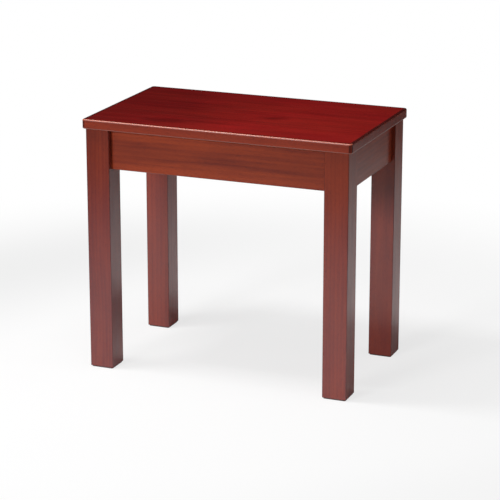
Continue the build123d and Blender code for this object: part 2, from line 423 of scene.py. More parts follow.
def rounded_outline(lo, hi, inset, radius, steps):
    """Points of a rectangle with rounded corners, drawn in by inset, each with how far it bends."""
    left = max(radius - inset, 0.0)
    middles = (
        (hi.x - radius, lo.y + radius, -90),
        (hi.x - radius, hi.y - radius, 0),
        (lo.x + radius, hi.y - radius, 90),
        (lo.x + radius, lo.y + radius, 180))
    outline = []
    for x, y, start in middles:
        for step in range(steps + 1):
            turn = math.radians(start + 90 * step / steps)
            bend = abs(math.sin(2 * math.pi * step / steps))
            outline.append((x + left * math.cos(turn), y + left * math.sin(turn), bend))
    return outline


def edge_levels(z, radius, steps, upper=False):
    """Insets and heights round a rounded edge, from the bottom up, each with how far it bends."""
    levels = []
    for step in range(steps + 1):
        turn = math.pi / 2 * step / steps
        inset = radius * (1 - math.sin(turn))
        rise = radius * (1 - math.cos(turn))
        levels.append((inset, z - rise if upper else z + rise, math.sin(2 * turn)))
    return levels[::-1] if upper else levels


def rim_levels(z, radius, steps):
    """Levels round the seat's upper edge, where stain gathers on the bend and in a band past it."""
    levels = []
    for inset, height, _ in edge_levels(z, radius, steps, upper=True):
        levels.append((inset, height, 1.0 if inset > RIM_START * radius else 0.0))
    levels.append((radius + RIM_BAND, z, 1.0))
    levels.append((radius + RIM_BAND + RIM_FADE, z, None))
    return levels


def skin(bm, rings):
    """Joins neighbouring rings by quads and closes both ends."""
    for lower, upper in zip(rings, rings[1:]):
        for here in range(len(lower)):
            there = (here + 1) % len(lower)
            bm.faces.new((lower[here], lower[there], upper[there], upper[here]))
    bm.faces.new(rings[0][::-1])
    bm.faces.new(rings[-1])


def block_of(outlines):
    """A closed block through outlines of (x, y, z, bend), which keeps the bend as the attribute arris."""
    bm = bmesh.new()
    arris = bm.verts.layers.float.new("arris")
    rings = []
    for outline in outlines:
        ring = []
        for x, y, z, bend in outline:
            vert = bm.verts.new((x, y, z))
            vert[arris] = bend
            ring.append(vert)
        rings.append(ring)
    skin(bm, rings)
    return bm


def lofted_block(lo, hi, radius, levels, steps):
    """A block through rounded outlines at levels of (inset, height, bend), where None is a flat."""
    outlines = []
    for inset, z, level_bend in levels:
        outline = []
        for x, y, bend in rounded_outline(lo, hi, inset, radius, steps):
            outline.append((x, y, z, 0.0 if level_bend is None else max(bend, level_bend)))
        outlines.append(outline)
    return block_of(outlines)


def apron_section(lo, hi, across, radius, steps):
    """An apron's section as (across, height, bend), with its two lower edges rounded."""
    inner, outer = lo[across], hi[across]
    section = [(outer, hi.z, 0.0), (inner, hi.z, 0.0)]
    for middle, start in ((inner + radius, 180), (outer - radius, 270)):
        for step in range(steps + 1):
            turn = math.radians(start + 90 * step / steps)
            bend = math.sin(math.pi * step / steps)
            place = middle + radius * math.cos(turn)
            section.append((place, lo.z + radius + radius * math.sin(turn), bend))
    return section


def apron_block(cad_node, axis, radius, steps):
    """An apron board from leg to leg, with its lower edges rounded."""
    lo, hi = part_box(cad_node)
    along = "XYZ".index(axis)
    across = 1 - along
    outlines = []
    for end in (lo[along], hi[along]):
        outline = []
        for place, height, bend in apron_section(lo, hi, across, radius, steps):
            point = [0.0, 0.0, height, bend]
            point[along] = end
            point[across] = place
            outline.append(point)
        outlines.append(outline)
    return block_of(outlines)


def ring_of(bm, height, radius, sides, shift=0.0):
    """A ring of points round the upright axis. Its radius may be a function of the turn."""
    ring = []
    for side in range(sides):
        turn = 2 * math.pi * side / sides
        reach = radius(turn) if callable(radius) else radius
        ring.append(bm.verts.new((reach * math.cos(turn) + shift, reach * math.sin(turn), height)))
    return ring


def lathe(rows, sides):
    """A closed turned shape through rows of (height, radius)."""
    bm = bmesh.new()
    skin(bm, [ring_of(bm, height, radius, sides) for height, radius in rows])
    return bm


def tidy(bm):
    """Merges doubles and turns the faces outwards."""
    bmesh.ops.remove_doubles(bm, verts=bm.verts, dist=MERGE)
    bmesh.ops.dissolve_degenerate(bm, edges=bm.edges, dist=MERGE / 10)
    bmesh.ops.recalc_face_normals(bm, faces=bm.faces)


def link_object(name, data):
    """An object at the origin that holds a mesh, lamp or camera."""
    made = bpy.data.objects.new(name, data)
    bpy.context.scene.collection.objects.link(made)
    return made


def new_object(name, bm):
    """An object at the origin that holds this mesh."""
    tidy(bm)
    mesh = bpy.data.meshes.new(name)
    bm.to_mesh(mesh)
    bm.free()
    return link_object(name, mesh)


def settle(piece):
    """Gives a piece the plain mesh that its modifiers make, and removes them."""
    graph = bpy.context.evaluated_depsgraph_get()
    shape = piece.evaluated_get(graph)
    mesh = bpy.data.meshes.new_from_object(shape, preserve_all_data_layers=True, depsgraph=graph)
    old = piece.data
    piece.modifiers.clear()
    piece.data = mesh
    bpy.data.meshes.remove(old)


def remove(piece):
    """Deletes a helper object and its mesh."""
    mesh = piece.data
    bpy.data.objects.remove(piece)
    bpy.data.meshes.remove(mesh)


def cut(piece, cutter, use_self=False):
    """Cuts one object out of another and deletes the cutter."""
    modifier = piece.modifiers.new("cut", "BOOLEAN")
    modifier.operation = "DIFFERENCE"
    modifier.solver = "EXACT"
    modifier.use_self = use_self
    modifier.object = cutter
    settle(piece)
    remove(cutter)


def smooth(piece):
    """Shades a piece smooth over its rounded edges and leaves its flats flat."""
    mesh = piece.data
    mesh.shade_smooth()
    mesh.set_sharp_from_angle(angle=SHARP_ANGLE)
    weighted = piece.modifiers.new("flats", "WEIGHTED_NORMAL")
    weighted.keep_sharp = True
    weighted.weight = FLAT_WEIGHT
    settle(piece)


def dress(piece, material, slot, *nodes):
    """Gives a piece its finish and makes it stand for its CAD nodes."""
    piece.data.materials.clear()
    piece.data.materials.append(material)
    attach(piece, BODY)
    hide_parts(*nodes)


# Dowels, screws and their bores, read from the frame


def solids_of(cad_node):
    """The points of each separate solid in a CAD node."""
    bm = bmesh.new()
    bm.from_mesh(frame["nodes"][cad_node].data)
    bmesh.ops.remove_doubles(bm, verts=bm.verts, dist=MERGE)
    waiting = set(bm.verts)
    solids = []
    while waiting:
        front = [waiting.pop()]
        found = []
        while front:
            vert = front.pop()
            found.append(tuple(vert.co))
            for edge in vert.link_edges:
                other = edge.other_vert(vert)
                if other in waiting:
                    waiting.remove(other)
                    front.append(other)
        solids.append(np.array(found))
    bm.free()
    if not solids:
        raise RuntimeError(f"node {cad_node} has no solids")
    return sorted(solids, key=lambda points: tuple(points.min(0).round(5)))


def fixing(points):
    """Start, direction, length and radius of a dowel or screw, the wider end being its start."""
    lo, hi = points.min(0), points.max(0)
    along = int(np.argmax(hi - lo))
    middle = (lo + hi) / 2
    reach = np.linalg.norm(np.delete(points - middle, along, axis=1), axis=1)
    near = reach[points[:, along] < lo[along] + END_ZONE].max()
    far = reach[points[:, along] > hi[along] - END_ZONE].max()
    forward = near >= far - SAME_RADIUS
    start = middle.copy()
    start[along] = lo[along] if forward else hi[along]
    direction = Vector((0, 0, 0))
    direction[along] = 1.0 if forward else -1.0
    return Vector(start), direction, float(hi[along] - lo[along]), float(reach.max())


def fixings(cad_node):
    """Every dowel or screw of a CAD node."""
    return [fixing(points) for points in solids_of(cad_node)]


def placing(start, direction):
    """The matrix that carries +Z onto a direction, from a start."""
    turn = Vector((0, 0, 1)).rotation_difference(direction).to_matrix().to_4x4()
    return Matrix.Translation(start) @ turn


def dowel_bore(make, length, radius):
    """The rows of a dowel's bore."""
    wide = radius + make.bore_fit / 2
    return (-make.bore_spare, wide), (length + make.bore_spare, wide)


def screw_bore(make, screws, length, radius):
    """The rows of a screw's bore, and of the counterbore that its head sits in."""
    seat = screws.head_height
    wide = radius + screws.counterbore_gap
    narrow = screws.shank_radius + make.bore_fit / 2
    return (-HEAD_ROOM, wide), (seat, wide), (seat, narrow), (length + make.bore_spare, narrow)


def bore_cutters(own):
    """A cutter for each dowel and screw of the bench."""
    cutters = []
    for cad_node in (DOWEL_NODE, *SCREW_NODES):
        for start, direction, length, radius in fixings(cad_node):
            if cad_node == DOWEL_NODE:
                rows = dowel_bore(own.frame, length, radius)
            else:
                rows = screw_bore(own.frame, own.screws, length, radius)
            bm = lathe(rows, BORE_SIDES)
            bmesh.ops.transform(bm, matrix=placing(start, direction), verts=bm.verts)
            cutters.append(bm)
    return cutters


def overlaps(bm, lo, hi):
    """Whether a cutter reaches into a box."""
    points = np.array([vert.co[:] for vert in bm.verts])
    low, high = points.min(0), points.max(0)
    return all(low[k] < hi[k] - MERGE and high[k] > lo[k] + MERGE for k in range(3))


def bore(piece, context):
    """Cuts the bores of the dowels and screws that go into a piece."""
    lo = Vector(piece.bound_box[0])
    hi = Vector(piece.bound_box[6])
    joined = bmesh.new()
    for cutter in bore_cutters(settings(context)):
        if overlaps(cutter, lo, hi):
            mesh = bpy.data.meshes.new("cutter")
            cutter.to_mesh(mesh)
            joined.from_mesh(mesh)
            bpy.data.meshes.remove(mesh)
        cutter.free()
    if not joined.verts:
        raise RuntimeError(f"no bore reaches {piece.name}")
    cut(piece, new_object("cutter", joined))


# Screws, dowels and fibres


def thread_radius(height, make, start, end):
    """The radius of a thread at a height, as a function of the turn, tapering at its point."""
    taper = min(1.0, (end - height) / make.point)
    grown = min(1.0, max(0.0, (height - start) / make.pitch))

    def radius(turn):
        phase = (height / make.pitch - turn / (2 * math.pi)) % 1.0
        ridge = max(0.0, 1.0 - abs(phase - 0.5) * THREAD_STEEPNESS) * grown
        return taper * (make.root_radius + (make.shank_radius - make.root_radius) * ridge)

    return radius


def screw_rows(make, head_radius, length):
    """The turned rows of a pan-head wood screw, with the top of its head at zero."""
    rows = []
    dome = make.head_height - make.head_rim
    for step in range(DOME_STEPS + 1):
        turn = math.pi / 2 * step / DOME_STEPS
        reach = head_radius * (DOME_START + (1 - DOME_START) * math.sin(turn))
        rows.append((dome * (1 - math.cos(turn)), reach))
    rows.append((make.head_height - HEAD_CHAMFER, head_radius))
    rows.append((make.head_height, head_radius - HEAD_CHAMFER))
    rows.append((make.head_height, make.shank_radius))
    plain = make.head_height + (length - make.head_height) * make.plain_share
    rows.append((plain, make.shank_radius))
    rise = make.pitch / THREAD_STEPS
    for number in range(1, int((length - plain - rise) / rise) + 1):
        height = plain + number * rise
        rows.append((height, thread_radius(height, make, plain, length)))
    rows.append((length, TIP_RADIUS))
    return rows


def cross_cutter(make):
    """The tapered cross that cuts a screw's recess, from above the head down to its depth."""
    bm = bmesh.new()
    half = make.recess_width / 2
    for turn in (0.0, math.pi / 2):
        spin = Matrix.Rotation(turn, 3, "Z")
        rings = []
        for height, (long, wide) in ((RECESS_START, RECESS_TOP), (make.recess_depth, RECESS_FOOT)):
            x, y = make.recess_radius * long, half * wide
            corners = ((-x, -y), (x, -y), (x, y), (-x, y))
            rings.append([bm.verts.new(spin @ Vector((*corner, height))) for corner in corners])
        skin(bm, rings)
    return bm


def screw_pattern(make, head_radius, length):
    """One screw along +Z, with the top of its head at the origin."""
    pattern = new_object("screw_pattern", lathe(screw_rows(make, head_radius, length), SCREW_SIDES))
    cut(pattern, new_object("cross_cutter", cross_cutter(make)), use_self=True)
    return pattern


def dowel_pattern(make, radius, length):
    """One fluted dowel along +Z, from the origin."""
    bevel = make.dowel_bevel

    def fluted(turn):
        return radius - FLUTE_DEPTH * (0.5 - 0.5 * math.cos(make.dowel_flutes * turn))

    def chamfered(turn):
        return fluted(turn) - bevel

    rows = [(0.0, chamfered), (bevel, fluted), (length - bevel, fluted), (length, chamfered)]
    return new_object("dowel_pattern", lathe(rows, make.dowel_flutes * FLUTE_SIDES))


def fibre_pattern(make):
    """One loose felt fibre: a thin bent spike along +Z."""
    bm = bmesh.new()
    rings = []
    for share, bend in FIBRE_BENDS:
        reach = make.fibre_radius * (FIBRE_TAPER - share)
        rings.append(ring_of(bm, share * make.fibre_length, reach, FIBRE_SIDES, bend * make.fibre_length))
    skin(bm, rings)
    return new_object("fibre_pattern", bm)


def marks(name, places):
    """An object of loose points, one for each fixing, that carries its direction."""
    mesh = bpy.data.meshes.new(name)
    mesh.from_pydata([tuple(start) for start, _, _, _ in places], [], [])
    drive = mesh.attributes.new("drive", "FLOAT_VECTOR", "POINT")
    drive.data.foreach_set("vector", [part for place in places for part in place[1]])
    return link_object(name, mesh)


# Geometry Nodes


def feed(tree, inputs, values):
    """Sets or links each of the inputs that is named."""
    for key, value in values.items():
        if isinstance(value, bpy.types.NodeSocket):
            tree.links.new(value, inputs[key])
        else:
            inputs[key].default_value = value


def node(tree, kind, inputs=None, **options):
    """Adds a node, sets its options, and sets or links its inputs."""
    made = tree.nodes.new(kind)
    for key, value in options.items():
        setattr(made, key, value)
    feed(tree, made.inputs, inputs or {})
    return made


def new_shape_tree(name, sockets):
    """An empty Geometry Nodes tree with a geometry in and out and the named inputs."""
    tree = bpy.data.node_groups.new(name, "GeometryNodeTree")
    tree.interface.new_socket("Geometry", in_out="OUTPUT", socket_type="NodeSocketGeometry")
    tree.interface.new_socket("Geometry", in_out="INPUT", socket_type="NodeSocketGeometry")
    for label, kind in sockets.items():
        tree.interface.new_socket(label, in_out="INPUT", socket_type=f"NodeSocket{kind}")
    return tree, tree.nodes.new("NodeGroupInput").outputs


def chance(tree, low, high, seed):
    """A random number for each point."""
    made = node(tree, "FunctionNodeRandomValue", {2: low, 3: high, "Seed": seed}, data_type="FLOAT")
    return made.outputs[1]


def set_on(tree, points, pattern, facing, turn, **others):
    """Instances of a pattern on points, faced one way and then turned about their own axes."""
    shape = node(tree, "GeometryNodeObjectInfo", {"Object": pattern}).outputs["Geometry"]
    turned = node(tree, "FunctionNodeRotateRotation", {
        "Rotation": facing, "Rotate By": turn}, rotation_space="LOCAL").outputs[0]
    return node(tree, "GeometryNodeInstanceOnPoints", {
        "Points": points, "Instance": shape, "Rotation": turned, **others}).outputs[0]


def end_tree(tree, shape, material):
    """Ends a tree in real meshes that carry a material."""
    real = node(tree, "GeometryNodeRealizeInstances", {"Geometry": shape}).outputs[0]
    finished = node(tree, "GeometryNodeSetMaterial", {"Geometry": real, "Material": material})
    tree.links.new(finished.outputs[0], tree.nodes.new("NodeGroupOutput").inputs[0])


def fixing_tree():
    """A tree that sets one pattern on every mark, turned to its direction and spun by chance."""
    tree, given = new_shape_tree("Set on marks", {
        "Pattern": "Object", "Spin": "Float", "Seed": "Int", "Finish": "Material"})
    drive = node(tree, "GeometryNodeInputNamedAttribute", {"Name": "drive"}, data_type="FLOAT_VECTOR")
    facing = node(tree, "FunctionNodeAlignRotationToVector", {"Vector": drive.outputs[0]}, axis="Z")
    spin = chance(tree, 0.0, given["Spin"], given["Seed"])
    turn = node(tree, "FunctionNodeAxisAngleToRotation", {"Axis": (0, 0, 1), "Angle": spin})
    placed = set_on(tree, given["Geometry"], given["Pattern"], facing.outputs[0], turn.outputs[0])
    end_tree(tree, placed, given["Finish"])
    return tree


def fibre_tree():
    """A tree that stands loose fibres on the upright sides of a felt pad."""
    tree, given = new_shape_tree("Loose fibres", {
        "Fibre": "Object", "Density": "Float", "Seed": "Int", "Finish": "Material"})
    normal = node(tree, "GeometryNodeInputNormal").outputs[0]
    rise = node(tree, "ShaderNodeSeparateXYZ", {0: normal}).outputs["Z"]
    steep = node(tree, "ShaderNodeMath", {0: rise}, operation="ABSOLUTE").outputs[0]
    side = node(tree, "FunctionNodeCompare", {0: steep, 1: FIBRE_STEEPNESS}, operation="LESS_THAN")
    spread = node(tree, "GeometryNodeDistributePointsOnFaces", {
        "Mesh": given["Geometry"], "Selection": side.outputs[0],
        "Density": given["Density"], "Seed": given["Seed"]}).outputs
    lean = node(tree, "FunctionNodeRandomValue", {
        "Min": [-part for part in FIBRE_LEAN], "Max": FIBRE_LEAN, "Seed": given["Seed"]},
        data_type="FLOAT_VECTOR")
    tilt = node(tree, "FunctionNodeEulerToRotation", {0: lean.outputs[0]}).outputs[0]
    size = chance(tree, *FIBRE_SIZES, given["Seed"])
    placed = set_on(tree, spread["Points"], given["Fibre"], spread["Rotation"], tilt, Scale=size)
    both = node(tree, "GeometryNodeJoinGeometry")
    tree.links.new(placed, both.inputs[0])
    tree.links.new(given["Geometry"], both.inputs[0])
    end_tree(tree, both.outputs[0], given["Finish"])
    return tree


def grow(piece, tree, values):
    """Runs a Geometry Nodes tree on a piece with these named inputs and keeps the plain mesh."""
    modifier = piece.modifiers.new(tree.name, "NODES")
    modifier.node_group = tree
    found = {item.name: item.identifier for item in tree.interface.items_tree
             if item.item_type == "SOCKET" and item.in_out == "INPUT"}
    for label, value in values.items():
        modifier[found[label]] = value
    settle(piece)
    if not piece.data.polygons:
        raise RuntimeError(f"{tree.name} gave {piece.name} no faces")


# Materials


def math_node(tree, operation, first, second=0.0, third=0.0):
    """The output of a Math node."""
    made = node(tree, "ShaderNodeMath", {0: first, 1: second, 2: third}, operation=operation)
    return made.outputs[0]


def vector_math(tree, operation, *inputs):
    """The output of a Vector Math node."""
    made = node(tree, "ShaderNodeVectorMath", dict(enumerate(inputs)), operation=operation)
    return made.outputs["Value" if operation == "LENGTH" else "Vector"]


def noise(tree, vector, scale, detail, roughness=0.5, distortion=0.0, output="Fac"):
    """A Noise Texture over a stretched vector."""
    made = node(tree, "ShaderNodeTexNoise", {
        "Vector": vector_math(tree, "MULTIPLY", vector, scale), "Scale": 1.0, "Detail": detail,
        "Roughness": roughness, "Distortion": distortion})
    return made.outputs[output]


def drifted(tree, place, drift, reach):
    """A place moved about by a slow noise, up to half of reach each way."""
    slow = noise(tree, place, *drift, output="Color")
    centred = vector_math(tree, "SUBTRACT", slow, (NOISE_MIDDLE,) * 3)
    return vector_math(tree, "ADD", place, vector_math(tree, "MULTIPLY", centred, reach))


def remap(tree, value, low, high, to_low=0.0, to_high=1.0):
    """A value moved smoothly from one range to another."""
    made = node(tree, "ShaderNodeMapRange", {
        "Value": value, "From Min": low, "From Max": high, "To Min": to_low, "To Max": to_high},
        interpolation_type="SMOOTHSTEP")
    return made.outputs[0]


def patch(tree, place, middle, reach):
    """A soft patch round a spot: one in its middle, and nothing past its reach."""
    away = vector_math(tree, "DIVIDE", vector_math(tree, "SUBTRACT", place, middle), reach)
    return remap(tree, vector_math(tree, "LENGTH", away), 0.0, 1.0, 1.0, 0.0)


def mixed(tree, factor, first, second):
    """The colour of a Mix node."""
    made = node(tree, "ShaderNodeMix", {0: factor}, data_type="RGBA")
    for index, value in ((6, first), (7, second)):
        whole = value if isinstance(value, bpy.types.NodeSocket) else (*value, 1.0)
        feed(tree, made.inputs, {index: whole})
    return made.outputs[2]


def shaded(colour, share):
    """A colour made darker or lighter."""
    return [share * part for part in colour]


def weighted_sum(tree, parts):
    """The sum of (value - middle) * weight over the parts."""
    total = 0.0
    for value, middle, weight in parts:
        away = math_node(tree, "SUBTRACT", value, middle)
        total = math_node(tree, "MULTIPLY_ADD", away, weight, total)
    return total


def clamped(tree, value):
    """A value kept between 0 and 1."""
    return node(tree, "ShaderNodeClamp", {0: value}).outputs[0]


def object_place(tree):
    """Where a point lies, in metres from the piece's origin."""
    return node(tree, "ShaderNodeTexCoord").outputs["Object"]


def height_of(tree, place):
    """The height of a place."""
    return node(tree, "ShaderNodeSeparateXYZ", {0: place}).outputs["Z"]


def growth_rings(tree, bent):
    """Rings round the heart of the log, which darken slowly and end sharply."""
    away = vector_math(tree, "LENGTH", vector_math(tree, "MULTIPLY", bent, (0.0, 1.0, 1.0)))
    turns = math_node(tree, "FRACT", math_node(tree, "DIVIDE", away, RING_WIDTH))
    return math_node(
        tree, "MULTIPLY", remap(tree, turns, *RING_DARKENS), remap(tree, turns, *RING_ENDS))


def figure_group():
    """The figure of the wood in grain space, where X runs along the grain, in metres."""
    known = bpy.data.node_groups.get("Mahogany figure")
    if known:
        return known
    tree = bpy.data.node_groups.new("Mahogany figure", "ShaderNodeTree")
    tree.interface.new_socket("Grain", in_out="INPUT", socket_type="NodeSocketVector")
    for label in ("Figure", "Pores", "Height"):
        tree.interface.new_socket(label, in_out="OUTPUT", socket_type="NodeSocketFloat")
    grain = tree.nodes.new("NodeGroupInput").outputs[0]
    bent = drifted(tree, grain, SWAY, GRAIN_SWAY)
    fibre = noise(tree, bent, *GRAIN_FIBRE)
    pore = remap(tree, noise(tree, bent, *PORES), *PORE_RANGE)
    shade = weighted_sum(tree, (
        (noise(tree, bent, *RIBBON), NOISE_MIDDLE, RIBBON_WEIGHT),
        (noise(tree, bent, *STREAK), NOISE_MIDDLE, STREAK_WEIGHT),
        (noise(tree, grain, *BLOTCH), NOISE_MIDDLE, BLOTCH_WEIGHT),
        (fibre, NOISE_MIDDLE, FIBRE_WEIGHT),
        (growth_rings(tree, bent), RING_MIDDLE, RING_WEIGHT)))
    relief = weighted_sum(tree, ((fibre, NOISE_MIDDLE, FIBRE_RELIEF), (pore, 0.0, PORE_RELIEF)))
    feed(tree, tree.nodes.new("NodeGroupOutput").inputs, {
        "Figure": clamped(tree, math_node(tree, "ADD", shade, NOISE_MIDDLE)), "Pores": pore,
        "Height": relief})
    return tree


def log_spot(log, number):
    """Where in the log the wood of one of several like pieces comes from."""
    return [first + number * step for first, step in zip(*log)]


def wood_figure(tree, axis, spot):
    """The figure of a piece's wood, its grain, which runs along an axis, and its place."""
    place = object_place(tree)
    grain = node(tree, "ShaderNodeMapping", {
        "Vector": place, "Rotation": GRAIN_TURN[axis], "Location": spot}).outputs[0]
    wood = node(tree, "ShaderNodeGroup", {"Grain": grain}, node_tree=figure_group())
    return wood.outputs, grain, place


def emptied(block):
    """The node tree of a material or world, with nothing in it."""
    block.use_nodes = True
    block.node_tree.nodes.clear()
    return block.node_tree


def new_material(name):
    """A material with an empty tree, that tree, and the inputs of its Principled shader."""
    material = bpy.data.materials.new(name)
    tree = emptied(material)
    shader = tree.nodes.new("ShaderNodeBsdfPrincipled")
    output = tree.nodes.new("ShaderNodeOutputMaterial")
    tree.links.new(shader.outputs[0], output.inputs["Surface"])
    return material, tree, shader.inputs


def bumped(tree, height, distance, strength, under=None):
    """The normal of a Bump node, laid over another normal if there is one."""
    inputs = {"Height": height, "Distance": distance, "Strength": strength}
    if under is not None:
        inputs["Normal"] = under
    return node(tree, "ShaderNodeBump", inputs).outputs[0]


def stain_depth(tree, figure, contrast, place, patches, tone):
    """How light the stain is, from 0 to 1: the wood's figure, with patches where it lies unevenly, which on
    the seat also paint light and shade.
    """
    parts = [(figure, NOISE_MIDDLE, contrast)]
    if patches:
        swayed = drifted(tree, place, PATCH_DRIFT, PATCH_SWAY)
        parts += [(patch(tree, swayed, middle, reach), 0.0, weight) for middle, reach, weight in patches]
    return clamped(tree, math_node(tree, "ADD", weighted_sum(tree, parts), tone))


def stain_colour(tree, finish, depth, place, crown):
    """The colour of the stain, which is redder above a crown level."""
    stain = mixed(tree, depth, finish.frame_dark, finish.frame_light)
    if crown is None:
        return stain
    red = mixed(tree, depth, finish.seat_dark, finish.seat_light)
    cloud = remap(tree, noise(tree, place, *CLOUD), *CLOUD_RANGE)
    redness = remap(tree, height_of(tree, place), crown - CROWN_FADE, crown, EDGE_RED, 1.0)
    return mixed(tree, math_node(tree, "MULTIPLY", redness, cloud), stain, red)


def edge_colour(tree, finish, colour, arris, place, wear_and_highlight):
    """The colour with stain gathered on the edges, which also paints the dark reflection on the seat's
    rounded corners, worn off again in spots, and lightened all along on the seat's highlighted edges as a
    painted highlight.
    """
    darkened_edge = mixed(tree, math_node(tree, "MULTIPLY", arris, EDGE_STAIN_AND_DARK_GLINT), colour, finish.pore)
    wear_and_glint = remap(tree, noise(tree, place, *WEAR_AND_GLINT_SPOTS), *WEAR_AND_GLINT_RANGE, *wear_and_highlight)
    return mixed(tree, math_node(tree, "MULTIPLY", arris, wear_and_glint), darkened_edge, finish.worn_and_highlight_tint)


def lacquer_film(tree, shader, fibre, arris, place):
    """The fine relief of the lacquer and of the wood under it, which is calm on the edges."""
    calm = math_node(tree, "SUBTRACT", 1.0, arris)
    peel = noise(tree, place, *PEEL)
    film = bumped(tree, math_node(tree, "MULTIPLY", peel, calm), *PEEL_BUMP)
    fibres = math_node(tree, "MULTIPLY", fibre, calm)
    feed(tree, shader, {
        "Coat Normal": film, "Normal": bumped(tree, fibres, *FIBRE_BUMP, film)})


def lacquered_wood(
        name, finish, axis, spot, contrast, tone, patches=(), crown=None, wear_and_highlight=FRAME_WEAR,
        coat=None, floor_reflection=None):
    """Stained mahogany under a clear semi-gloss lacquer."""
    material, tree, shader = new_material(name)
    wood, grain, place = wood_figure(tree, axis, spot)
    depth = stain_depth(tree, wood["Figure"], contrast, place, patches, tone)
    stain = stain_colour(tree, finish, depth, place, crown)
    stained = mixed(tree, math_node(tree, "MULTIPLY", wood["Pores"], PORE_STAIN), stain, finish.pore)
    arris = node(tree, "ShaderNodeAttribute", attribute_name="arris").outputs["Fac"]
    colour = edge_colour(tree, finish, stained, arris, place, wear_and_highlight)
    # bloom here is the share of the painted reflection of the pale floor, which fades out between the given
    # heights
    if floor_reflection is not None:
        bloom = remap(tree, height_of(tree, place), *floor_reflection, finish.floor_reflection_share, 0.0)
        colour = mixed(tree, bloom, colour, finish.floor_reflection)
    wipe = noise(tree, grain, *WIPE)
    feed(tree, shader, {
        "Base Color": colour, "Roughness": remap(tree, wipe, *WIPE_ROUGHNESS),
        "Specular IOR Level": 0.1, "Coat Weight": 1.0, "Coat IOR": COAT_IOR,
        "Coat Roughness": finish.coat_roughness if coat is None else coat})
    lacquer_film(tree, shader, wood["Height"], arris, place)
    return material


def bare_wood(name, finish, axis, spot):
    """Sawn and sanded hardwood with no finish."""
    material, tree, shader = new_material(name)
    wood, grain, _ = wood_figure(tree, axis, spot)
    tone = mixed(tree, wood["Figure"], finish.bare_dark, finish.bare_light)
    fleck = remap(tree, noise(tree, grain, *FLECK), *FLECK_RANGE)
    flecked = mixed(tree, fleck, tone, shaded(finish.bare_dark, FLECK_SHADE))
    pored = math_node(tree, "MULTIPLY", wood["Pores"], PORE_STAIN)
    saw = noise(tree, grain, *SAW)
    sawn = bumped(tree, saw, *SAW_BUMP)
    feed(tree, shader, {
        "Base Color": mixed(tree, pored, flecked, shaded(finish.bare_dark, PORE_SHADE)),
        "Roughness": remap(tree, saw, *SAW_ROUGHNESS), "Specular IOR Level": 0.35,
        "Normal": bumped(tree, wood["Height"], *BARE_BUMP, sawn)})
    return material


def zinc_plate(finish):
    """Bright zinc plating with a faint yellow bloom and driver marks."""
    material, tree, shader = new_material("zinc_plate")
    place = object_place(tree)
    bloom = noise(tree, place, *BLOOM)
    yellowed = remap(tree, bloom, *BLOOM_RANGE)
    scuff = noise(tree, place, *SCUFF)
    feed(tree, shader, {
        "Base Color": mixed(tree, yellowed, finish.zinc, shaded(finish.zinc, BLOOM_SHADE)),
        "Metallic": 1.0, "Roughness": remap(tree, bloom, *BLOOM_ROUGHNESS),
        "Normal": bumped(tree, scuff, *SCUFF_BUMP)})
    return material


def pressed_felt(finish):
    """Dark pressed wool felt."""
    material, tree, shader = new_material("pressed_felt")
    place = object_place(tree)
    wool = noise(tree, place, *WOOL)
    lint = remap(tree, noise(tree, place, *TUFT), *LINT_RANGE)
    light = remap(tree, wool, *WOOL_RANGE)
    tone = mixed(tree, light, shaded(finish.felt, WOOL_SHADE), finish.felt)
    feed(tree, shader, {
        "Base Color": mixed(tree, lint, tone, shaded(finish.felt, LINT_SHADE)),
        "Roughness": remap(tree, wool, *WOOL_ROUGHNESS), "Specular IOR Level": 0.2,
        "Sheen Weight": 0.4, "Sheen Roughness": 0.5, "Normal": bumped(tree, wool, *WOOL_BUMP)})
    return material


# Pieces


def fit_out(piece, context, wood, slot, cad_node):
    """Bores a wooden piece for its dowels and screws, smooths it and dresses it."""
    bore(piece, context)
    smooth(piece)
    dress(piece, wood, slot, cad_node)


def paint_edge_highlights(slab, material, above, below):
    """Gives the seat's upper front edge and its lower edge a duller lacquer with a lighter colour, which
    paints a highlight on the upper edge and the floor's reflection on the lower one.
    """
    slab.data.materials.append(material)
    for face in slab.data.polygons:
        front = face.center.z > above and face.normal.y < FRONT_FACING
        under = face.center.z < below and UNDER_FACING[0] < face.normal.z < UNDER_FACING[1]
        if front or under:
            face.material_index = 1


class MakeSeat(bpy.types.Operator):
    """Make the seat slab with its rounded edges"""

    bl_idname = "piano_bench.seat"
    bl_label = "Seat"

    def execute(self, context):
        own = settings(context)
        make, finish = own.seat, own.finish
        lo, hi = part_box("seat_top")
        levels = [(make.edge_radius + FACE_MARGIN, lo.z, None)]
        for inset, height, bend in edge_levels(lo.z, make.edge_radius, make.steps):
            levels.append((inset, height, UNDER_GLINT * bend))
        levels += rim_levels(hi.z, make.edge_radius, make.steps)
        slab = new_object("seat", lofted_block(lo, hi, make.corner_radius, levels, make.steps))
        look = (finish, "X", SEAT_LOG, SEAT_CONTRAST, SEAT_TONE, SEAT_STAIN_AND_SHADE, hi.z - CROWN_DEPTH)
        fit_out(slab, context, lacquered_wood("seat_lacquer", *look, SEAT_WEAR), LACQUER, "seat_top")
        # A second lacquer whose lighter edge colour paints the highlight on the upper front edge and the
        # floor's reflection on the lower edge
        highlit = lacquered_wood("rubbed_seat_lacquer", *look, PAINTED_EDGE_HIGHLIGHT, finish.rubbed_roughness)
        paint_edge_highlights(slab, highlit, hi.z - make.edge_radius, lo.z + make.edge_radius)
        return {"FINISHED"}


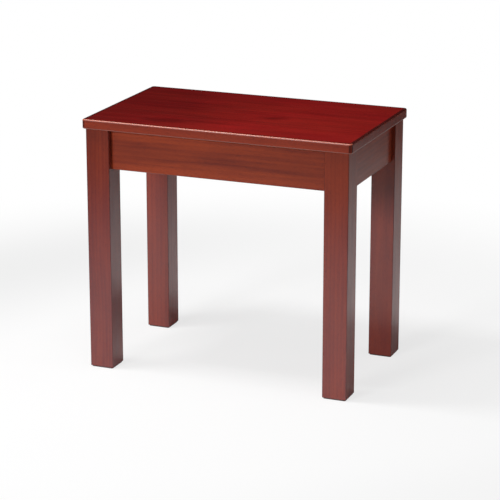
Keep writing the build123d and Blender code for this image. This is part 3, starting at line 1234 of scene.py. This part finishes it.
class MakeLegs(bpy.types.Operator):
    """Make the four square legs"""

    bl_idname = "piano_bench.legs"
    bl_label = "Legs"

    def execute(self, context):
        own = settings(context)
        make = own.frame
        for number, corner in enumerate(CORNERS):
            lo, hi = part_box(f"{corner}_leg")
            levels = edge_levels(lo.z, make.leg_radius, make.steps)
            levels.append((0.0, hi.z, 0.0))
            leg = new_object(f"leg_{corner}", lofted_block(lo, hi, make.leg_radius, levels, make.steps))
            # The legs' tones paint shade, and their colour carries a painted reflection of the floor low
            # down
            wood = lacquered_wood(
                f"leg_lacquer_{corner}", own.finish, "Z", log_spot(LEG_LOG, number), LEG_CONTRAST,
                LEG_SHADE_TONE[corner], floor_reflection=FLOOR_REFLECTION_HEIGHTS)
            fit_out(leg, context, wood, LACQUER, f"{corner}_leg")
        return {"FINISHED"}


class MakeAprons(bpy.types.Operator):
    """Make the four aprons between the legs"""

    bl_idname = "piano_bench.aprons"
    bl_label = "Aprons"

    def execute(self, context):
        own = settings(context)
        make = own.frame
        for number, (side, axis) in enumerate(APRONS):
            board = apron_block(f"{side}_apron", axis, make.apron_radius, make.steps)
            apron = new_object(f"apron_{side}", board)
            wood = lacquered_wood(
                f"apron_lacquer_{side}", own.finish, axis, log_spot(APRON_LOG, number), APRON_CONTRAST,
                APRON_TONE, APRON_FIGURE if side == "front" else ())
            fit_out(apron, context, wood, LACQUER, f"{side}_apron")
        return {"FINISHED"}


def block_plan(corner, make):
    """A corner block's outline in plan, notched round its leg, and its heights, read from the frame."""
    lo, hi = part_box(f"{corner}_corner_block")
    leg_lo, leg_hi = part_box(f"{corner}_leg")
    right = 1.0 if corner.endswith("right") else -1.0
    back = 1.0 if corner.startswith("back") else -1.0
    outer_x, inner_x = (hi.x, lo.x) if right > 0 else (lo.x, hi.x)
    outer_y, inner_y = (hi.y, lo.y) if back > 0 else (lo.y, hi.y)
    notch_x = (leg_lo.x if right > 0 else leg_hi.x) - right * make.block_notch_gap
    notch_y = (leg_lo.y if back > 0 else leg_hi.y) - back * make.block_notch_gap
    return (
        (notch_x, outer_y), (inner_x, outer_y), (inner_x, outer_y - back * make.block_end),
        (outer_x - right * make.block_end, inner_y), (outer_x, inner_y),
        (outer_x, notch_y), (notch_x, notch_y)), lo.z, hi.z


def corner_block(corner, make):
    """A corner block with a broken edge round its lower face."""
    plan, low, high = block_plan(corner, make)
    bm = bmesh.new()
    skin(bm, [[bm.verts.new((x, y, z)) for x, y in plan] for z in (low, high)])
    under = [
        edge for edge in bm.edges if all(abs(vert.co.z - low) < MERGE for vert in edge.verts)]
    bmesh.ops.bevel(
        bm, geom=under, offset=make.block_bevel, segments=2, profile=0.5, affect="EDGES")
    return bm


class MakeCornerBlocks(bpy.types.Operator):
    """Make the notched corner blocks inside the frame, with their counterbores"""

    bl_idname = "piano_bench.corner_blocks"
    bl_label = "Corner blocks"

    def execute(self, context):
        own = settings(context)
        for number, corner in enumerate(CORNERS):
            block = new_object(f"corner_block_{corner}", corner_block(corner, own.frame))
            wood = bare_wood(f"block_wood_{corner}", own.finish, "X", log_spot(BLOCK_LOG, number))
            fit_out(block, context, wood, BARE_WOOD, f"{corner}_corner_block")
        return {"FINISHED"}


def set_fixings(name, cad_node, pattern_of, make, material, slot, spin, seed):
    """Sets one pattern on every dowel or screw of a CAD node and dresses the whole set."""
    places = fixings(cad_node)
    _, _, length, radius = places[0]
    pattern = pattern_of(make, radius, length)
    whole = marks(name, places)
    grow(whole, fixing_tree(), {"Pattern": pattern, "Spin": spin, "Seed": seed, "Finish": material})
    remove(pattern)
    smooth(whole)
    dress(whole, material, slot, cad_node)


class MakeDowels(bpy.types.Operator):
    """Make the fluted dowels that hold the aprons to the legs"""

    bl_idname = "piano_bench.dowels"
    bl_label = "Dowels"

    def execute(self, context):
        own = settings(context)
        wood = bare_wood("dowel_wood", own.finish, "X", DOWEL_LOG)
        set_fixings(
            "dowels", DOWEL_NODE, dowel_pattern, own.frame, wood, BARE_WOOD, spin=0.0, seed=0)
        return {"FINISHED"}


class MakeScrews(bpy.types.Operator):
    """Make the wood screws in the corner blocks and under the seat"""

    bl_idname = "piano_bench.screws"
    bl_label = "Screws"

    def execute(self, context):
        own = settings(context)
        zinc = zinc_plate(own.finish)
        for number, cad_node in enumerate(SCREW_NODES):
            set_fixings(
                f"{cad_node}_set", cad_node, screw_pattern, own.screws, zinc, ZINC,
                spin=math.pi, seed=own.screws.spin_seed + number)
        return {"FINISHED"}


def keep_above(piece, floor):
    """Bends loose fibres up that would go through the floor."""
    for vert in piece.data.vertices:
        vert.co.z = max(vert.co.z, floor)


class MakeFootPads(bpy.types.Operator):
    """Make the felt pads under the legs, with loose fibres at their cut sides"""

    bl_idname = "piano_bench.foot_pads"
    bl_label = "Foot pads"

    def execute(self, context):
        own = settings(context)
        make = own.felt
        felt = pressed_felt(own.finish)
        tree = fibre_tree()
        fibre = fibre_pattern(make)
        for number, corner in enumerate(CORNERS):
            lo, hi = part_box(f"{corner}_foot_pad")
            levels = edge_levels(lo.z, make.edge_radius, PAD_EDGE_STEPS)
            levels.append((0.0, hi.z, 0.0))
            shape = lofted_block(lo, hi, make.corner_radius, levels, PAD_CORNER_STEPS)
            pad = new_object(f"foot_pad_{corner}", shape)
            grow(pad, tree, {
                "Fibre": fibre, "Density": make.fibre_density, "Seed": make.seed + number,
                "Finish": felt})
            keep_above(pad, lo.z)
            dress(pad, felt, FELT, f"{corner}_foot_pad")
        remove(fibre)
        return {"FINISHED"}


# Stage


def paper_tone(tree, place, stage):
    """The paper's colour: a painted pool of light, pale in a turned ellipse and dark past it, as the lacquer
    mirrors it.
    """
    turned = node(tree, "ShaderNodeVectorRotate", {
        "Vector": place, "Center": POOL_MIDDLE, "Angle": -POOL_TURN}, rotation_type="Z_AXIS")
    offset = vector_math(tree, "SUBTRACT", turned.outputs[0], POOL_MIDDLE)
    away = vector_math(tree, "LENGTH", vector_math(tree, "MULTIPLY", offset, POOL_NARROWING))
    return mixed(tree, remap(tree, away, *POOL_FADE), stage.floor, stage.floor_far)


def paper(stage):
    """Pale paper that shows plain white and keeps a soft share of the bench's shadow."""
    material = bpy.data.materials.new("paper")
    tree = emptied(material)
    seen = node(tree, "ShaderNodeLightPath").outputs
    place = object_place(tree)
    lift = remap(tree, vector_math(tree, "LENGTH", place), *WHITE_FADE, stage.floor_white, 1.0)
    looked_at = math_node(tree, "MAXIMUM", seen["Is Camera Ray"], seen["Is Transmission Ray"])
    plain = math_node(tree, "MULTIPLY", looked_at, lift)
    glossy = math_node(tree, "MULTIPLY", seen["Is Glossy Ray"], stage.gloss_white)
    share = math_node(tree, "MAXIMUM", plain, glossy)
    lit = node(tree, "ShaderNodeBsdfDiffuse", {"Color": paper_tone(tree, place, stage)})
    white = node(tree, "ShaderNodeEmission", {"Color": PLAIN_WHITE, "Strength": 1.0})
    face = node(tree, "ShaderNodeMixShader", {0: share, 1: lit.outputs[0], 2: white.outputs[0]})
    under = node(tree, "ShaderNodeBsdfTransparent")
    behind = node(tree, "ShaderNodeNewGeometry").outputs["Backfacing"]
    both = node(tree, "ShaderNodeMixShader", {0: behind, 1: face.outputs[0], 2: under.outputs[0]})
    node(tree, "ShaderNodeOutputMaterial", {"Surface": both.outputs[0]})
    return material


def dark_cloth():
    """Matt black cloth of the drape round the set."""
    material, tree, shader = new_material("dark_cloth")
    feed(tree, shader, {"Base Color": CLOTH_BLACK, "Roughness": 1.0, "Specular IOR Level": 0.0})
    return material


def studio_world(stage):
    """An even light from all round, which shows as plain white."""
    world = bpy.data.worlds.new("studio")
    bpy.context.scene.world = world
    tree = emptied(world)
    seen = node(tree, "ShaderNodeLightPath").outputs
    looked_at = math_node(tree, "MAXIMUM", seen["Is Camera Ray"], seen["Is Glossy Ray"])
    looked_at = math_node(tree, "MAXIMUM", looked_at, seen["Is Transmission Ray"])
    fill = node(tree, "ShaderNodeBackground", {"Color": PLAIN_WHITE, "Strength": stage.fill})
    white = node(tree, "ShaderNodeBackground", {"Color": PLAIN_WHITE, "Strength": 1.0})
    both = node(tree, "ShaderNodeMixShader", {0: looked_at, 1: fill.outputs[0], 2: white.outputs[0]})
    node(tree, "ShaderNodeOutputWorld", {"Surface": both.outputs[0]})


def face_along(made, direction):
    """Turns a lamp or camera to look along a direction, with its upper side up."""
    made.rotation_mode = "QUATERNION"
    made.rotation_quaternion = direction.to_track_quat("-Z", "Y")


def softbox(name, place, aim, width, height, strength):
    """A soft lamp that faces the bench."""
    lamp = bpy.data.lights.new(name, "AREA")
    lamp.shape = "RECTANGLE"
    lamp.size = width
    lamp.size_y = height
    lamp.energy = strength
    made = link_object(name, lamp)
    made.location = place
    face_along(made, Vector(aim) - Vector(place))
    made.visible_camera = False


def round_floor(stage):
    """A flat round floor of paper that faces up."""
    bm = bmesh.new()
    bm.faces.new(ring_of(bm, 0.0, stage.floor_radius, FLOOR_SIDES))
    floor = new_object("floor", bm)
    floor.data.materials.append(paper(stage))
    return floor


def drape(stage):
    """A dark drape round and over the set, seen only in the gloss of the lacquer."""
    bm = lathe(((0.0, stage.drape_radius), (stage.drape_height, stage.drape_radius)), DRAPE_SIDES)
    ground = [face for face in bm.faces if all(abs(vert.co.z) < MERGE for vert in face.verts)]
    bmesh.ops.delete(bm, geom=ground, context="FACES_ONLY")
    cloth = new_object("drape", bm)
    cloth.data.materials.append(dark_cloth())
    cloth.visible_camera = False
    cloth.visible_diffuse = False
    cloth.visible_shadow = False
    cloth.visible_transmission = False
    return cloth


def set_camera(stage):
    """The camera, at its place and turned by its azimuth and elevation."""
    lens = bpy.data.cameras.new("camera")
    lens.sensor_width = SENSOR_WIDTH
    lens.lens = stage.lens
    camera = link_object("camera", lens)
    camera.location = stage.camera_place
    level = math.cos(stage.elevation)
    back = Vector((
        math.sin(stage.azimuth) * level, -math.cos(stage.azimuth) * level, math.sin(stage.elevation)))
    face_along(camera, -back)
    bpy.context.scene.camera = camera


class MakeStage(bpy.types.Operator):
    """Make the floor, the drape, the lamps and the camera"""

    bl_idname = "piano_bench.stage"
    bl_label = "Stage"

    def execute(self, context):
        stage = settings(context).stage
        context.scene.view_settings.view_transform = "Standard"
        floor = round_floor(stage)
        drape(stage)
        studio_world(stage)
        for name, place, aim, width, height, power in LAMPS:
            softbox(name, place, aim, width, height, getattr(stage, power))
        set_camera(stage)
        return {"FINISHED"}


class PianoBenchPanel(bpy.types.Panel):
    """Lists the pieces of the bench"""

    bl_idname = "VIEW3D_PT_piano_bench"
    bl_label = "Piano Bench"
    bl_space_type = "VIEW_3D"
    bl_region_type = "UI"
    bl_category = "Piano Bench"

    def draw(self, context):
        own = settings(context)
        for group in (own.seat, own.frame, own.screws, own.felt, own.finish, own.stage):
            box = self.layout.box()
            for name in group.__annotations__:
                box.prop(group, name)
        for operator in OPERATORS:
            self.layout.operator(operator.bl_idname)


GROUPS = (
    SeatSettings, FrameSettings, ScrewSettings, FeltSettings, FinishSettings, StageSettings,
    BenchSettings)
OPERATORS = (
    MakeSeat, MakeLegs, MakeAprons, MakeCornerBlocks, MakeDowels, MakeScrews, MakeFootPads, MakeStage)
CLASSES = (*GROUPS, *OPERATORS, PianoBenchPanel)


def register():
    """Registers the classes and gives the scene its settings."""
    for kind in CLASSES:
        bpy.utils.register_class(kind)
    bpy.types.Scene.piano_bench = PointerProperty(type=BenchSettings)


def unregister():
    """Takes the settings and classes away again."""
    del bpy.types.Scene.piano_bench
    for kind in reversed(CLASSES):
        bpy.utils.unregister_class(kind)


def main():
    """Builds the bench, piece by piece, and its stage."""
    register()
    bpy.ops.piano_bench.seat()
    bpy.ops.piano_bench.legs()
    bpy.ops.piano_bench.aprons()
    bpy.ops.piano_bench.corner_blocks()
    bpy.ops.piano_bench.dowels()
    bpy.ops.piano_bench.screws()
    bpy.ops.piano_bench.foot_pads()
    bpy.ops.piano_bench.stage()


if __name__ == "__main__":
    main()
